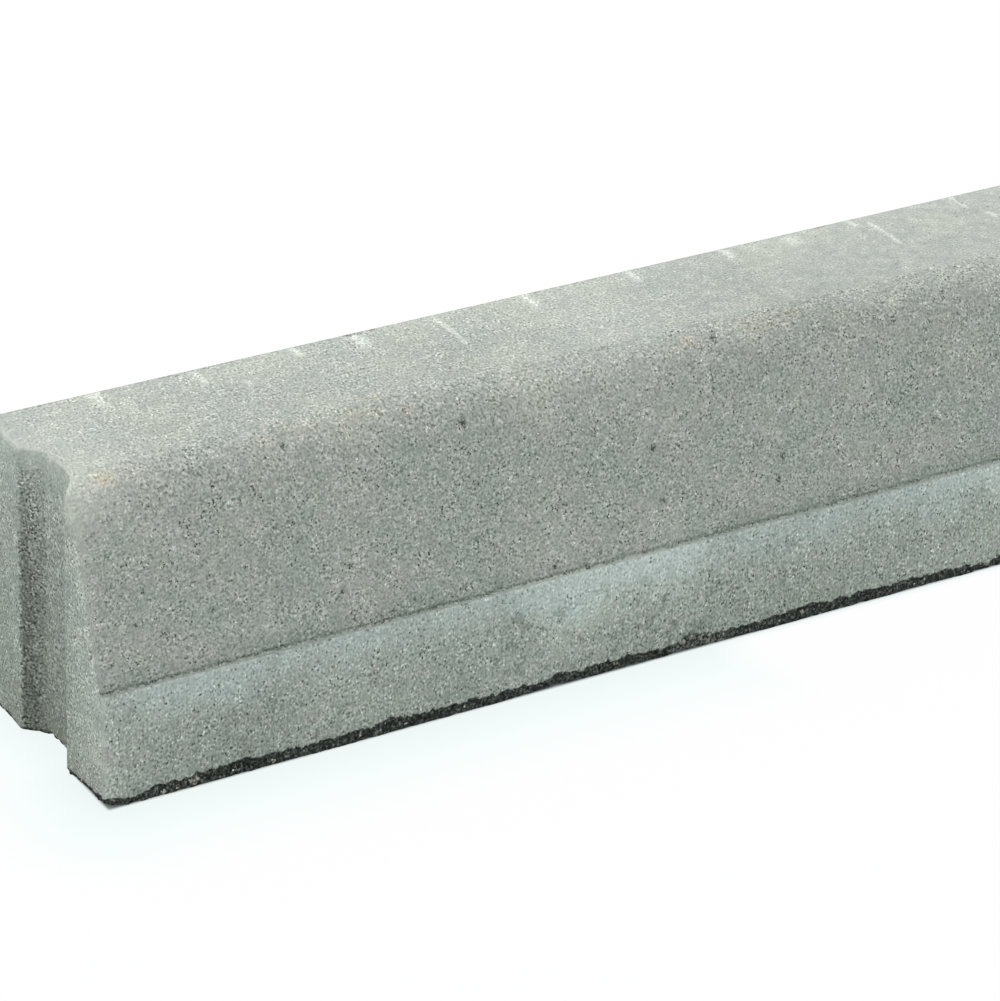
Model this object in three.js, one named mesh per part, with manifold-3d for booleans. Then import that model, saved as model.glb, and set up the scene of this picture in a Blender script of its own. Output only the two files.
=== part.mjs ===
import * as THREE from 'three';
import { mergeVertices } from 'three/addons/utils/BufferGeometryUtils.js';
import Module from 'manifold-3d';

// A pressed concrete kerb stone, cast in one piece. Its front has an upright plinth at the
// foot, a narrow ledge, a battered face and a broad round nose. The top is flat, the back
// is upright, and the bed is flat. A groove runs up one end and a tongue up the other, so
// that stones laid in a row key into each other.
//
// Millimetres. X runs along the stone, from the grooved end to the tongued end. The front
// faces -Y and the back +Y. Z is up. The origin is the middle of the bed, halfway between
// the flat lands of the two ends.

// Driving dimensions

const length = 1000;            // land to land, the pitch at which the stones are laid
const height = 250;
const baseWidth = 200;          // back face to plinth
const topWidth = 150;           // back face to the line where the top and the batter would meet
const plinthHeight = 98;
const ledgeWidth = 3;
const ledgeRise = 4;            // the ledge falls forward by this much, so that it sheds water
const noseRadius = 50;
const backArrisRadius = 4;
const endArrisRadius = 5;       // round on the arrises that frame each end

const grooveMouth = 80;         // width of the groove at the end land
const grooveFloor = 44;
const grooveDepth = 15;
const grooveFillet = 6;         // in the two corners of the floor
const mouthRound = 4;           // on the two arrises of the mouth
const jointPlay = 2;            // how far the tongue stays off the groove, on each side and at the floor

const arcSteps = 8;             // half the number of facets of each arc
const arrisSteps = 4;           // facets across a rounded end arris
const overrun = 20;             // how far a cutting solid reaches past what it cuts

// Helpers

const wasm = await Module();
wasm.setup();

function toSolid(geometry) {
  geometry.deleteAttribute('normal');
  geometry.deleteAttribute('uv');
  const merged = mergeVertices(geometry, 1e-4);
  return new wasm.Manifold(new wasm.Mesh({
    numProp: 3,
    vertProperties: new Float32Array(merged.attributes.position.array),
    triVerts: new Uint32Array(merged.index.array),
  }));
}

function toGeometry(solid) {
  const mesh = solid.getMesh();
  const geometry = new THREE.BufferGeometry();
  geometry.setAttribute('position', new THREE.BufferAttribute(mesh.vertProperties, 3));
  geometry.setIndex(new THREE.BufferAttribute(mesh.triVerts, 1));
  geometry.computeVertexNormals();
  return geometry;
}

// The distance from a corner to where a round of this radius leaves its two sides.
function tangentLength(before, corner, after, radius) {
  const arriving = corner.clone().sub(before).normalize();
  const leaving = after.clone().sub(corner).normalize();
  const turn = Math.acos(THREE.MathUtils.clamp(arriving.dot(leaving), -1, 1));
  return radius * Math.tan(turn / 2);
}

// A closed outline through corners of { x, y, radius }; a corner with no radius stays sharp.
function roundedOutline(corners) {
  const shape = new THREE.Shape();
  const points = corners.map((corner) => new THREE.Vector2(corner.x, corner.y));
  corners.forEach(({ radius = 0 }, index) => {
    const corner = points[index];
    const before = points[(index + points.length - 1) % points.length];
    const after = points[(index + 1) % points.length];
    const draw = index === 0 ? 'moveTo' : 'lineTo';
    if (radius === 0) {
      shape[draw](corner.x, corner.y);
      return;
    }
    const arriving = corner.clone().sub(before).normalize();
    const leaving = after.clone().sub(corner).normalize();
    const clockwise = arriving.cross(leaving) < 0;
    const reach = tangentLength(before, corner, after, radius);
    const start = corner.clone().addScaledVector(arriving, -reach);
    const end = corner.clone().addScaledVector(leaving, reach);
    const towardsCentre = new THREE.Vector2(-arriving.y, arriving.x).multiplyScalar(clockwise ? -1 : 1);
    const centre = start.clone().addScaledVector(towardsCentre, radius);
    const startAngle = start.clone().sub(centre).angle();
    const endAngle = end.clone().sub(centre).angle();
    shape[draw](start.x, start.y);
    shape.absarc(centre.x, centre.y, radius, startAngle, endAngle, clockwise);
  });
  shape.closePath();
  return shape;
}

// Turns an outline drawn in Y and Z into a prism along X, from startX to endX, with its
// two ends rounded off by arrisRadius.
function sweepAlongStone(outline, startX, endX, arrisRadius) {
  const geometry = new THREE.ExtrudeGeometry(outline, {
    depth: endX - startX - 2 * arrisRadius,
    curveSegments: arcSteps,
    bevelEnabled: arrisRadius > 0,
    bevelThickness: arrisRadius,
    bevelSize: arrisRadius,
    bevelOffset: -arrisRadius,
    bevelSegments: arrisSteps,
  });
  const acrossUpAlong = new THREE.Matrix4().makeBasis(
    new THREE.Vector3(0, 1, 0),
    new THREE.Vector3(0, 0, 1),
    new THREE.Vector3(1, 0, 0),
  );
  geometry.applyMatrix4(acrossUpAlong);
  geometry.translate(startX + arrisRadius, 0, 0);
  return toSolid(geometry);
}

// Turns an outline drawn in X and Y into an upright prism that passes the bed and the top.
function raiseThroughStone(outline) {
  const geometry = new THREE.ExtrudeGeometry(outline, {
    depth: height + 2 * overrun,
    curveSegments: arcSteps,
    bevelEnabled: false,
  });
  geometry.translate(0, 0, -overrun);
  return toSolid(geometry);
}

// Section

const frontY = -baseWidth / 2;
const backY = baseWidth / 2;
const batterFoot = { x: frontY + ledgeWidth, y: plinthHeight + ledgeRise };
const batterHead = { x: backY - topWidth, y: height, radius: noseRadius };

// The section goes on below the bed, so that the rounded end arrises stop at the bed and
// the bed itself keeps sharp edges once it is trimmed.
function sectionOutline() {
  return roundedOutline([
    { x: frontY, y: -overrun },
    { x: backY, y: -overrun },
    { x: backY, y: height },
    batterHead,
    batterFoot,
    { x: frontY, y: plinthHeight },
  ]);
}

// The space above the bed, with the round of the long arris between the top and the back.
function trimOutline() {
  return roundedOutline([
    { x: frontY - overrun, y: 0 },
    { x: backY, y: 0 },
    { x: backY, y: height, radius: backArrisRadius },
    { x: frontY - overrun, y: height },
  ]);
}

// Tongue and groove

// Both have this plan: a flare off the end land at landX, two sloping sides and a flat
// floor or tip, all towards +X. It starts an overrun before the land.
function keyOutline({ landX, mouth, floor, depth, landRound, floorRound }) {
  const floorX = landX + depth;
  const landCorner = new THREE.Vector2(landX, mouth / 2);
  const floorCorner = new THREE.Vector2(floorX, floor / 2);
  const alongLand = new THREE.Vector2(landX, mouth);
  const flareY = mouth / 2 + tangentLength(alongLand, landCorner, floorCorner, landRound);
  return roundedOutline([
    { x: landX - overrun, y: -flareY },
    { x: landX, y: -flareY },
    { x: landX, y: -mouth / 2, radius: landRound },
    { x: floorX, y: -floor / 2, radius: floorRound },
    { x: floorX, y: floor / 2, radius: floorRound },
    { x: landX, y: mouth / 2, radius: landRound },
    { x: landX, y: flareY },
    { x: landX - overrun, y: flareY },
  ]);
}

const groove = {
  landX: -length / 2,
  mouth: grooveMouth,
  floor: grooveFloor,
  depth: grooveDepth,
  landRound: mouthRound,
  floorRound: grooveFillet,
};

const tongue = {
  landX: length / 2,
  mouth: grooveMouth - 2 * jointPlay,
  floor: grooveFloor - 2 * jointPlay,
  depth: grooveDepth - jointPlay,
  landRound: mouthRound,
  floorRound: grooveFillet,
};

// Stone

function kerbSolid() {
  const body = sweepAlongStone(sectionOutline(), -length / 2, length / 2, endArrisRadius);
  const trim = sweepAlongStone(trimOutline(), -length, length, 0);
  const tongueEnd = tongue.landX + tongue.depth;
  const tongueSection = sweepAlongStone(sectionOutline(), 0, tongueEnd, endArrisRadius);
  const tonguePiece = raiseThroughStone(keyOutline(tongue)).intersect(tongueSection);
  const groovePiece = raiseThroughStone(keyOutline(groove));
  return body.subtract(groovePiece).add(tonguePiece).intersect(trim);
}

const concrete = new THREE.MeshStandardMaterial({
  color: new THREE.Color().setRGB(0.62, 0.655, 0.625, THREE.SRGBColorSpace),
  roughness: 0.95,
  metalness: 0,
});

const kerb = new THREE.Group();
const kerbStone = new THREE.Mesh(toGeometry(kerbSolid()), concrete);
kerbStone.name = 'kerb_stone';
kerb.add(kerbStone);

export default kerb;
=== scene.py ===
import math
import random

import bmesh
import bpy
import numpy as np
from mathutils import Matrix, Vector, noise


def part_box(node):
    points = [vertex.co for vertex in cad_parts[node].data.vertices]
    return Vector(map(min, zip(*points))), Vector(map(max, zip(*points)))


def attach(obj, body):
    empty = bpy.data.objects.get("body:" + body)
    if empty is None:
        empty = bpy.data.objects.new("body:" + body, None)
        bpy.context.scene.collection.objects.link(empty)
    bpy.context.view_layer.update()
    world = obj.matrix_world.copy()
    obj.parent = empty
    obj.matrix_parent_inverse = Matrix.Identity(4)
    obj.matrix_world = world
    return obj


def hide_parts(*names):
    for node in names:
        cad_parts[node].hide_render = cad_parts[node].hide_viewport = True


# A pressed concrete kerb stone. X runs along it, its battered front faces -Y, its bed is at Z = 0.
# The stone is worked in millimetres and its mesh is written in metres.

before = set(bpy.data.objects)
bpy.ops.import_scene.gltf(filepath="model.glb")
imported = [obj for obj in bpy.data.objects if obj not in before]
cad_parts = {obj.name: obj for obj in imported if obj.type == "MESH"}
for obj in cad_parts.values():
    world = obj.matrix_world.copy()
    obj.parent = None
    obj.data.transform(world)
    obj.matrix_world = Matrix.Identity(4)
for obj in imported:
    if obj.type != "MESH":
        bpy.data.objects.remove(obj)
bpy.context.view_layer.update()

MM = 0.001


# ---------------------------------------------------------------- sizes of the stone

# The solid's box gives the faces that the finished stone has to meet.
BOX_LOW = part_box("kerb_stone")[0] / MM
BOX_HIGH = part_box("kerb_stone")[1] / MM
FRONT = BOX_LOW.y
BACK = BOX_HIGH.y
TOP = BOX_HIGH.z
GROOVE_LAND = BOX_LOW.x
TONGUE_LAND = -BOX_LOW.x        # the tongue reaches past it
HAIR = 0.01                     # what lies closer to a face than this lies on it

# The section.
PLINTH_HEIGHT = 98
LEDGE_WIDTH = 3
LEDGE_RISE = 4
TOP_WIDTH = 150
NOSE_RADIUS = 50
BACK_ARRIS = 4
END_ARRIS = 5

# The groove and the tongue.
GROOVE_MOUTH = 80
GROOVE_FLOOR = 44
GROOVE_DEPTH = 15
MOUTH_SOFTNESS = 1.4            # how far the bends at the mouth spread to both sides
FLOOR_SOFTNESS = 2.2            # and those at the floor
JOINT_PLAY = 2                  # how much less the tongue has than the groove, at its end and each side
KEY_REACH = 60                  # how far into the stone its points give way to the key

# How closely the skin is divided.
SLICE_CUTS = 479
END_SLICES = 6                  # fine slices at each end
END_PITCH = 1.0
ROW_CUTS = 41
FOOT_ROWS = 15                  # fine rows at the bed
FOOT_PITCH = 1.1
HEAD_ROWS = 4                   # and at the top
HEAD_PITCH = 1.6
LEDGE_PITCH = 1.3
CREASE_RUN = 8                  # how far above the ledge the batter is finely divided
CREASE_PITCH = 1.1
BATTER_PITCH = 3.8
NOSE_FACETS = 17
ARRIS_FACETS = 4
SHARP_ANGLE = 50                # degrees, past which an edge is shaded as a sharp one

# The slices across the stone, by their number, and the X where each goes.
LAST_SLICE = SLICE_CUTS + 1
SLICE_STOPS = [
    (0, GROOVE_LAND),
    (END_SLICES, GROOVE_LAND + END_SLICES * END_PITCH),
    (LAST_SLICE - END_SLICES, TONGUE_LAND - END_SLICES * END_PITCH),
    (LAST_SLICE, TONGUE_LAND),
]

# The batter runs from the ledge to the corner that the nose rounds.
BATTER_FOOT = Vector((0, FRONT + LEDGE_WIDTH, PLINTH_HEIGHT + LEDGE_RISE))
BATTER_HEAD = Vector((0, BACK - TOP_WIDTH, TOP))
BATTER_WAY = (BATTER_HEAD - BATTER_FOOT).normalized()
NOSE_TURN = math.atan2(BATTER_WAY.z, BATTER_WAY.y)
NOSE_Y = BATTER_HEAD.y + NOSE_RADIUS * math.tan(NOSE_TURN / 2)
NOSE_Z = TOP - NOSE_RADIUS

# The top's columns crowd where the key bends: the steps in each stretch and the Y where it ends.
TOP_STRETCHES = [(9, 17.5), (6, 24.5), (4, 35.5), (5, 41.5), (16, BACK - BACK_ARRIS)]
TOP_STEPS = sum(steps for steps, _ in TOP_STRETCHES)


# ---------------------------------------------------------------- the bare stone

def along(edge):
    return edge.verts[1].co - edge.verts[0].co


def new_verts(made):
    return [item for item in made["geom"] if isinstance(item, bmesh.types.BMVert)]


def round_corner(bm, corner, radius, facets):
    """Rounds one corner of a chain of edges."""
    neighbours = [edge.other_vert(corner) for edge in corner.link_edges]
    to_before, to_after = [(vert.co - corner.co).normalized() for vert in neighbours]
    turn = math.pi - to_before.angle(to_after)
    centre = corner.co + (to_before + to_after).normalized() * radius / math.cos(turn / 2)
    made = bmesh.ops.bevel(
        bm,
        geom=[corner],
        offset=radius * math.tan(turn / 2),
        offset_type="OFFSET",
        segments=facets,
        profile=0.5,
        affect="VERTICES",
        material=-1,
    )
    for vert in made["verts"]:
        vert.co = centre + (vert.co - centre).normalized() * radius


def divide(bm, pitch, low, high):
    """Cuts each edge that lies between these two heights into equal steps of about this pitch."""
    by_cuts = {}
    for edge in bm.edges:
        heights = [vert.co.z for vert in edge.verts]
        cuts = round(edge.calc_length() / pitch) - 1
        if min(heights) > low - HAIR and max(heights) < high + HAIR and cuts > 0:
            by_cuts.setdefault(cuts, []).append(edge)
    for cuts, group in by_cuts.items():
        bmesh.ops.subdivide_edges(bm, edges=group, cuts=cuts)


def divide_top(bm):
    """Cuts the flat of the top into its columns."""
    flat = [edge for edge in bm.edges if min(vert.co.z for vert in edge.verts) > TOP - HAIR]
    bmesh.ops.subdivide_edges(bm, edges=flat, cuts=TOP_STEPS - 1)
    counts, ends = [0], [NOSE_Y]
    for steps, end in TOP_STRETCHES:
        counts.append(counts[-1] + steps)
        ends.append(end)
    for vert in bm.verts:
        if vert.co.z > TOP - HAIR:
            share = (vert.co.y - ends[0]) / (ends[-1] - ends[0])
            vert.co.y = np.interp(share * TOP_STEPS, counts, ends)


def draw_upper_chain(bm):
    """The section's upper edge: the ledge, the batter, the nose, the top and the long back arris."""
    crease_end = BATTER_FOOT + BATTER_WAY * CREASE_RUN
    corners = [
        Vector((0, FRONT, PLINTH_HEIGHT)),
        BATTER_FOOT,
        crease_end,
        BATTER_HEAD,
        Vector((0, BACK, TOP)),
        Vector((0, BACK, 0)),
    ]
    verts = [bmesh.ops.create_vert(bm, co=corner)["vert"][0] for corner in corners]
    for pair in zip(verts, verts[1:]):
        bm.edges.new(pair)
    nose, back_arris, back_foot = verts[3:]
    round_corner(bm, nose, NOSE_RADIUS, NOSE_FACETS)
    round_corner(bm, back_arris, BACK_ARRIS, ARRIS_FACETS)
    bmesh.ops.delete(bm, geom=[back_foot], context="VERTS")
    divide_top(bm)
    divide(bm, BATTER_PITCH, crease_end.z, NOSE_Z + NOSE_RADIUS * math.cos(NOSE_TURN))
    divide(bm, CREASE_PITCH, BATTER_FOOT.z, crease_end.z)
    divide(bm, LEDGE_PITCH, PLINTH_HEIGHT, BATTER_FOOT.z)
    bmesh.ops.translate(bm, verts=bm.verts[:], vec=Vector((GROOVE_LAND, 0, 0)))


def graded_height(share, height):
    """Where a row at this share of its column goes, so that rows crowd at the foot and the head."""
    rows = ROW_CUTS + 1
    return np.interp(
        share,
        [0, FOOT_ROWS / rows, 1 - HEAD_ROWS / rows, 1],
        [0, FOOT_ROWS * FOOT_PITCH, height - HEAD_ROWS * HEAD_PITCH, height],
    )


def fill_section(bm):
    """Draws the chain down to the bed and cuts the sheet into rows."""
    for vert in new_verts(bmesh.ops.extrude_edge_only(bm, edges=bm.edges[:])):
        vert.co.z = 0
    uprights = [edge for edge in bm.edges if edge.calc_length() > PLINTH_HEIGHT - HAIR]
    bmesh.ops.subdivide_edges(bm, edges=uprights, cuts=ROW_CUTS, use_grid_fill=True)
    columns = {}
    for vert in bm.verts:
        columns.setdefault(round(vert.co.y, 3), []).append(vert)
    for column in columns.values():
        height = max(vert.co.z for vert in column)
        for vert in column:
            vert.co.z = graded_height(vert.co.z / height, height)


def join_bed(bm):
    """Makes the bed one flat face."""
    bed = [face for face in bm.faces if max(vert.co.z for vert in face.verts) < HAIR]
    bmesh.ops.dissolve_faces(bm, faces=bed)


def bare_stone():
    """The closed skin, with square ends."""
    bm = bmesh.new()
    draw_upper_chain(bm)
    fill_section(bm)
    far_end = new_verts(bmesh.ops.extrude_face_region(bm, geom=bm.faces[:]))
    bmesh.ops.translate(bm, verts=far_end, vec=Vector((TONGUE_LAND - GROOVE_LAND, 0, 0)))
    join_bed(bm)
    lengthwise = [edge for edge in bm.edges if abs(along(edge).x) > TONGUE_LAND]
    bmesh.ops.subdivide_edges(bm, edges=lengthwise, cuts=SLICE_CUTS, use_grid_fill=True)
    join_bed(bm)
    bmesh.ops.recalc_face_normals(bm, faces=bm.faces[:])
    return bm


# ---------------------------------------------------------------- marks on this stone

# Places are in millimetres. A scrape: its X, its two ends in Y, its half width and how white it is.
SCRAPES = [
    (-406, 98, 70, 10.0, 0.90),
    (-392, 70, 50, 5.0, 0.45),
    (-320, 96, 70, 3.0, 0.95),
    (-290, 62, 51, 4.0, 0.65),
    (-231, 96, 80, 4.0, 1.00),
    (-175, 97, 70, 7.5, 1.00),
    (-101, 92, 37, 2.8, 0.95),
    (-15, 98, 72, 5.0, 0.95),
    (86, 98, 75, 4.2, 1.00),
    (126, 67, 58, 3.2, 0.40),
    (181, 98, 78, 5.0, 0.95),
    (244, 90, 74, 8.0, 0.80),
    (311, 97, 84, 4.6, 1.00),
    (324, 84, 38, 2.6, 0.95),
    (421, 98, 72, 6.0, 1.30),
    (429, 56, 44, 3.0, 1.00),
]

SCRAPE_BEND = 1.5               # how far the middle of a scrape bows along X
SCRAPE_FRINGE = 9               # how far from its middle a narrow scrape is still marked
NO_SCRAPE = 9.0                 # the mark of a place that is far from every scrape, in half widths

# A stain on the nose: its X and Y, its half length and how strong it is.
STAINS = [
    (-463, -30, 14, 1.0),
    (-321, -34, 20, 0.4),
    (-294, -24, 16, 0.7),
    (-259, -33, 14, 0.5),
    (-234, -26, 20, 1.0),
    (-214, -10, 16, 0.6),
    (-200, -34, 14, 0.5),
    (62, -32, 20, 0.8),
    (134, -31, 24, 0.5),
    (172, -29, 26, 0.6),
    (210, -32, 18, 0.3),
]
STAIN_REACH = 10                # half its width across the nose

# A broad paler place, or a darker one where its tone is below 0: its middle, its half length along
# X, how far it reaches across, and its tone.
PATCHES = [
    ((-462, 14, 250), 46, 66, 0.14),
    ((-486, -40, 240), 30, 30, 0.20),
    ((18, 8, 250), 40, 74, 0.10),
    ((-40, -54, 226), 58, 34, 0.05),
    ((392, -44, 240), 26, 40, 0.11),
    ((160, 44, 250), 46, 60, -0.05),
    ((196, -24, 248), 44, 28, -0.06),
    ((-132, 26, 250), 32, 56, -0.05),
    ((-68, -100, 72), 50, 50, 0.20),
    ((16, -100, 88), 48, 38, 0.18),
    ((-128, -100, 19), 26, 18, 0.24),
    ((-492, -100, 26), 18, 26, 0.08),
    ((-490, -100, 82), 16, 14, -0.08),
    ((-388, -100, 38), 48, 28, -0.10),
    ((70, -100, 42), 18, 16, -0.10),
    ((34, -100, 17), 24, 9, -0.09),
    ((310, -100, 95), 38, 10, 0.12),
    ((376, -100, 80), 38, 44, 0.22),
    ((330, -100, 28), 66, 26, 0.10),
    ((-370, -100, 62), 22, 26, -0.09),
    ((-330, -100, 92), 14, 8, 0.10),
    ((-170, -100, 88), 22, 14, 0.08),
    ((-168, -100, 44), 24, 18, 0.10),
    ((-12, -100, 58), 14, 9, -0.10),
    ((30, -100, 30), 13, 8, 0.14),
    ((112, -100, 76), 22, 14, -0.10),
    ((150, -100, 44), 50, 14, -0.06),
    ((120, -100, 18), 80, 8, -0.08),
    ((270, -100, 20), 14, 8, 0.12),
    ((362, -100, 84), 28, 14, 0.24),
    ((392, -100, 72), 20, 12, 0.20),
    ((398, -62, 214), 14, 16, 0.16),
    ((-20, -94, 114), 70, 9, -0.07),
    ((-90, -98.5, 100), 110, 2.4, 0.13),
    ((60, -96, 103), 60, 2.4, -0.10),
    ((-50, -96, 103), 46, 2.4, -0.08),
    ((370, -96, 103), 40, 2.4, 0.12),
    ((300, -100, 44), 12, 10, -0.24),
    ((54, -100, 58), 12, 9, -0.20),
    ((-350, -100, 54), 12, 9, -0.14),
    ((-124, -100, 50), 10, 8, -0.15),
    ((-56, -100, 38), 12, 9, -0.15),
    ((326, -100, 94), 14, 6, 0.15),
]

# The top's tone, lighter from the middle towards the back.
TOP_TONE_TO_BACK = [(20, 0.0), (45, 0.03), (66, 0.045), (82, 0.075), (95, 0.10)]

# An open pit on the front: its X and Z and its radius. Its brim slopes in from twice as far out.
PITS = [
    (-461, 146, 2.0),
    (-438, 134, 2.2),
    (-395, 142, 1.8),
    (-346, 222, 1.8),
    (-311, 243, 2.1),
    (-316, 178, 1.8),
    (-283, 131, 2.2),
    (-273, 149, 2.4),
    (-242, 108, 1.8),
    (-157, 232, 3.1),
    (-150, 148, 1.8),
    (-93, 108, 2.2),
    (-17, 127, 2.0),
    (10, 180, 3.2),
    (13, 138, 2.8),
    (35, 205, 2.0),
    (88, 245, 2.5),
    (124, 131, 2.6),
    (131, 148, 3.0),
    (256, 231, 2.8),
    (270, 147, 1.8),
    (395, 190, 2.2),
]
PIT_DEPTH = 1.8

PRESS_LINE_RUN = 6              # how far in front of the nose's head the press line is deepest
PRESS_LINE_DEPTH = 0.5
CHIP_REACH = 12                 # how far from the back arris its chips run out
CHIP_DEPTH = 2.6

# A pebble laid bare in the front of the foot: its X and Z and its radius.
PEBBLES = [
    (-419, 6, 4.6),
    (-434, 4, 2.4),
    (-446, 3, 2.2),
    (-350, 3.5, 2.6),
    (-272, 6, 2.2),
    (-257, 4, 1.8),
    (30, 9, 3.4),
    (38, 12, 2.6),
    (47, 8, 3.2),
    (56, 9, 2.4),
    (148, 7, 2.2),
]
MORE_PEBBLES = 34               # scattered round the foot
PEBBLE_STAND = 0.9              # how far a pebble stands out of the torn foot

# The torn foot of the long faces.
FOOT_HEIGHT = 9.8
CORNER_FOOT_HEIGHT = 8.5        # where it meets an end
CORNER_RUN = 30                 # how far from the end it begins to near that height
FOOT_RECESS = (0.05, 2.6)       # the least and the most that it stands back
FOOT_SQUEEZE = 14               # how far into the stone its points give way to the torn foot

# The torn foot of the ends. The lists give what holds at each Y, on both sides for the first. The dark
# rise is how much higher than the tear the foot's painted black shade reaches.
END_FOOT_HEIGHT = [(40, 5.0), (95, 6.5)]
END_RAGGEDNESS = [(-60, 1.2), (-40, 2.2)]
END_SHADE_RISE = [(-95, 6.5), (-60, 5.0), (-40, 2.5), (-22, -2.8), (25, -2.8), (45, -3.8)]
END_TEAR = 5.0                  # how deep it is torn beside the plinth
END_TEAR_SHARE = [(-60, 1.0), (-35, 0.6), (25, 0.6), (42, 0.1)]
END_LIFT = 3.8                  # how far its edge is lifted off the ground beside the plinth
END_LIFT_SHARE = [(-60, 1.0), (-35, 0.2)]
END_SQUEEZE = 26

# A stretch of the front where the torn foot reaches higher, or less high where its rise is below 0:
# its X, its half length and the rise.
FOOT_SWELLS = [
    (-480, 22, -2.0),
    (-370, 45, 1.2),
    (-322, 14, -1.2),
    (-240, 50, 2.2),
    (-170, 22, 1.0),
    (-108, 20, -2.2),
    (42, 22, 4.5),
    (150, 36, 1.8),
    (207, 16, 2.0),
    (345, 60, -2.0),
]

# A stretch where the lower edge of the long faces is broken off the ground: its X, its half length and
# the lift.
FOOT_LIFTS = [
    (-90, 40, 2.0),
    (-25, 60, 1.4),
    (42, 40, 2.0),
]


# ---------------------------------------------------------------- its worn shape

def smooth_step(low, high, values):
    t = np.clip((values - low) / (high - low), 0, 1)
    return t * t * (3 - 2 * t)


def follow(stops, places):
    """Reads a list of places and what holds at each, with even runs between."""
    return np.interp(places, *zip(*stops))


def lumps(points, pitch, seed):
    """Fractal noise of about -1 to 1 at each point, its largest lumps a pitch apart."""
    shift = Vector((seed * 7.3, seed * 3.1, seed * 5.7))
    return np.array([noise.fractal(Vector(point) / pitch + shift, 1.0, 2.0, 3) for point in points])


def bell(distance, half_width):
    """A hump of 1 that falls to nothing at its half width."""
    return smooth_step(half_width, 0, np.abs(distance))


def skin_depth(y, z):
    """How far each point of the section lies behind the nearest long face, and the way in from it."""
    into_batter = (BATTER_WAY.z, -BATTER_WAY.y)
    behind_batter = (y - BATTER_FOOT.y) * into_batter[0] + (z - BATTER_FOOT.z) * into_batter[1]
    faces = [(y - FRONT, (1, 0)), (behind_batter, into_batter), (TOP - z, (0, -1)), (BACK - y, (-1, 0))]
    depth = np.full(len(y), np.inf)
    inward = np.zeros((len(y), 2))
    for distance, way in faces:
        nearer = distance < depth
        depth[nearer] = distance[nearer]
        inward[nearer] = way
    out_y, out_z = NOSE_Y - y, z - NOSE_Z
    reach = np.hypot(out_y, out_z)
    angle = np.arctan2(out_y, out_z)
    in_nose = (angle > 0) & (angle < NOSE_TURN) & (reach > NOSE_RADIUS / 2)
    depth[in_nose] = (NOSE_RADIUS - reach)[in_nose]
    inward[in_nose] = np.stack([out_y, -out_z], 1)[in_nose] / reach[in_nose, None]
    return np.maximum(depth, 0), inward


def soft_ramp(value, softness):
    """Nothing below 0 and the value above it, with a soft bend between."""
    bent = (value + softness) ** 2 / (4 * softness)
    return np.where(np.abs(value) < softness, bent, np.maximum(value, 0))


def key_plan(y, mouth, floor, depth):
    """How far the tongue or the floor of the groove lies past the land at each Y."""
    run = (mouth - floor) / 2
    inside = mouth / 2 - np.abs(y)
    return (soft_ramp(inside, MOUTH_SOFTNESS) - soft_ramp(inside - run, FLOOR_SOFTNESS)) * depth / run


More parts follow.
